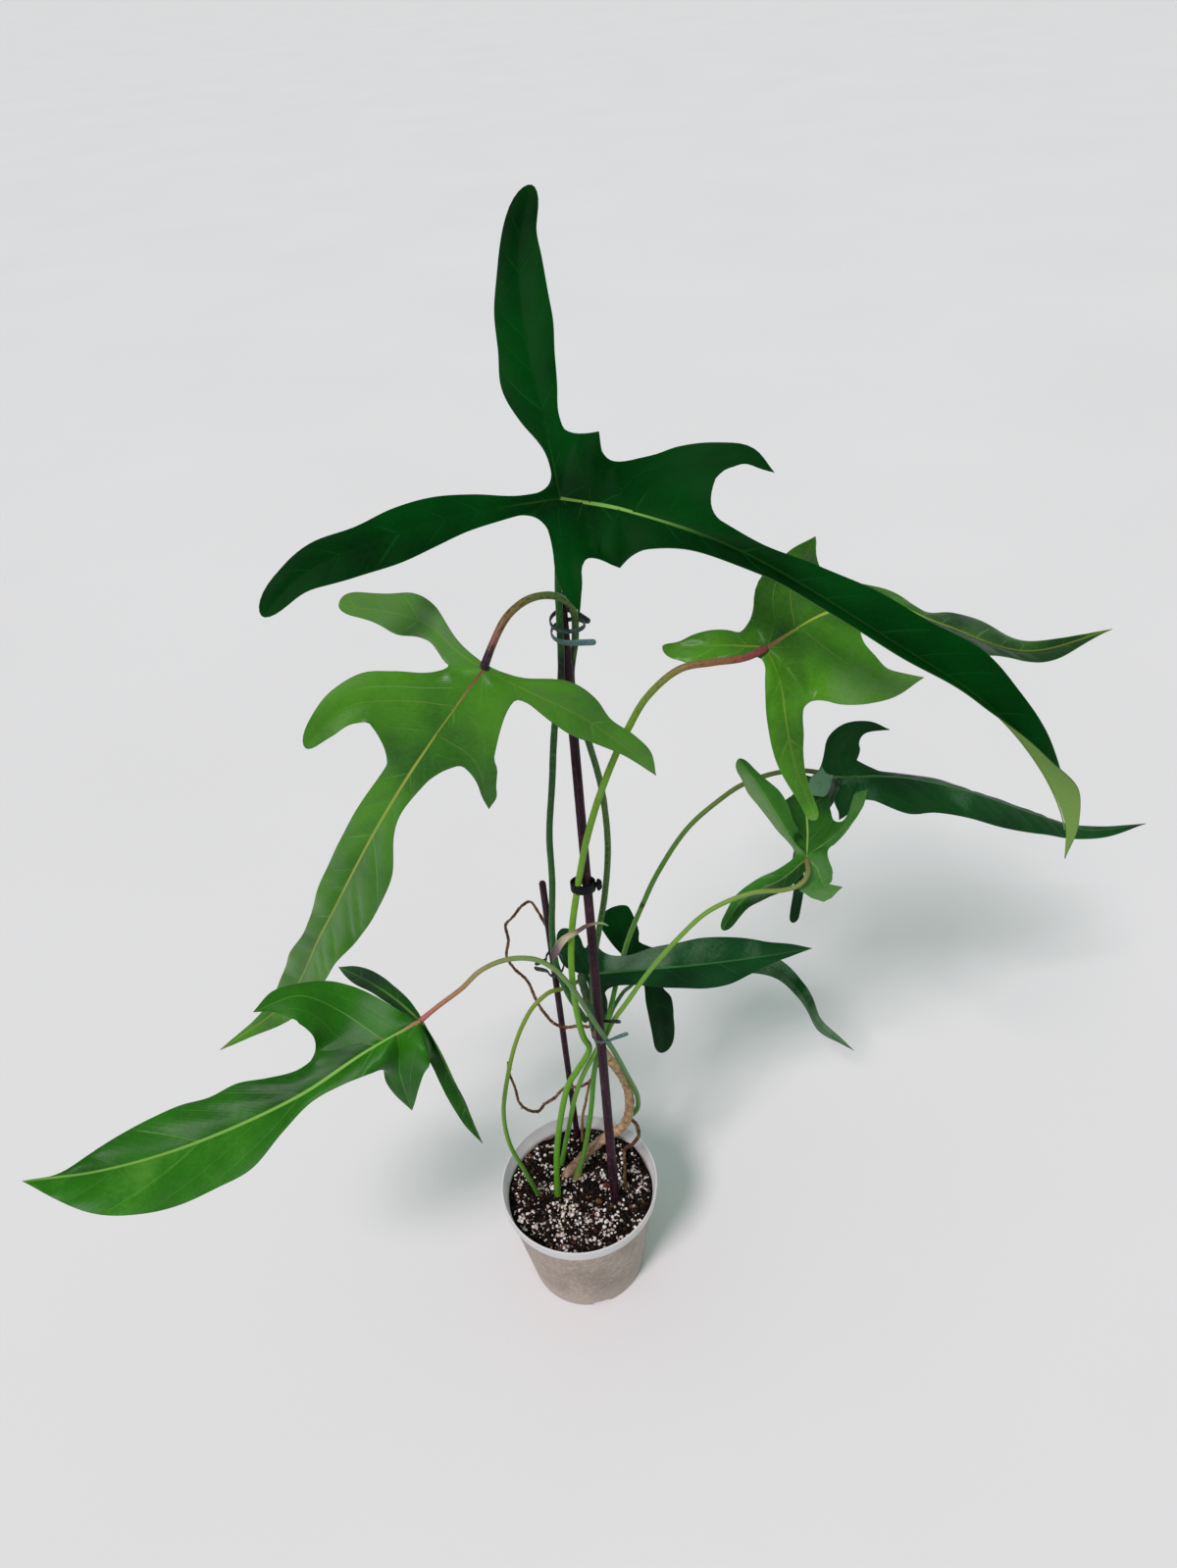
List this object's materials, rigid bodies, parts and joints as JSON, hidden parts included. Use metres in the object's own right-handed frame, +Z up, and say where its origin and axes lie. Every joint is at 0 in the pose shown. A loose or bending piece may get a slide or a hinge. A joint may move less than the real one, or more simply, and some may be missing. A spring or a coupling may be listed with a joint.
{
  "type": "potted philodendron longilobatum",
  "caption": "House plant with long-lobed, arrow-shaped leaves on slender stalks, tied to stakes in a round nursery pot of bark mix.",
  "frame": {"origin": "centre of the pot's base, on the surface that the pot stands on", "axes": "+Z up; -Y towards the side seen in the picture; +X to that viewer's right"},
  "size_m": [0.7692, 0.262, 0.7772],
  "materials": {
    "leaf_dark": "satin, dark green leaf",
    "leaf": "satin, green leaf",
    "leaf_bright": "satin, light green leaf",
    "stalk": "satin green stalk with small dark flecks",
    "stem": "matt, tan rooting stem",
    "root": "matt, tan aerial root",
    "dry": "matt, dried stalk",
    "sheath": "papery, mauve to cream",
    "stake": "satin, purple-brown",
    "tie": "ribbed, grey-green",
    "clip": "black",
    "frosted": "frosted, half clear",
    "bark_mix": "rough, dark bark with white perlite"
  },
  "bodies": {
    "root": {"blade_a": "leaf_dark", "stalk_a": "stalk", "blade_b": "leaf", "stalk_b": "stalk", "blade_c": "leaf_bright", "stalk_c": "stalk", "blade_d": "leaf", "stalk_d": "stalk", "blade_e": "leaf_dark", "stalk_e": "stalk", "blade_f": "leaf_bright", "stalk_f": "stalk", "blade_g": "leaf_dark", "stalk_g": "stalk", "blade_h": "leaf_dark", "stalk_h": "stalk", "stake_tall": "stake", "stake_short": "stake", "stem": "stem", "root_upper": "root", "root_lower": "root", "root_right": "root", "dry_stalk": "dry", "tie_top": "tie", "tie_low": "tie", "tie_short": "tie", "sheath": "sheath", "spring_clip": "clip", "pot": "frosted", "soil": "bark_mix"}
  },
  "joints": []
}
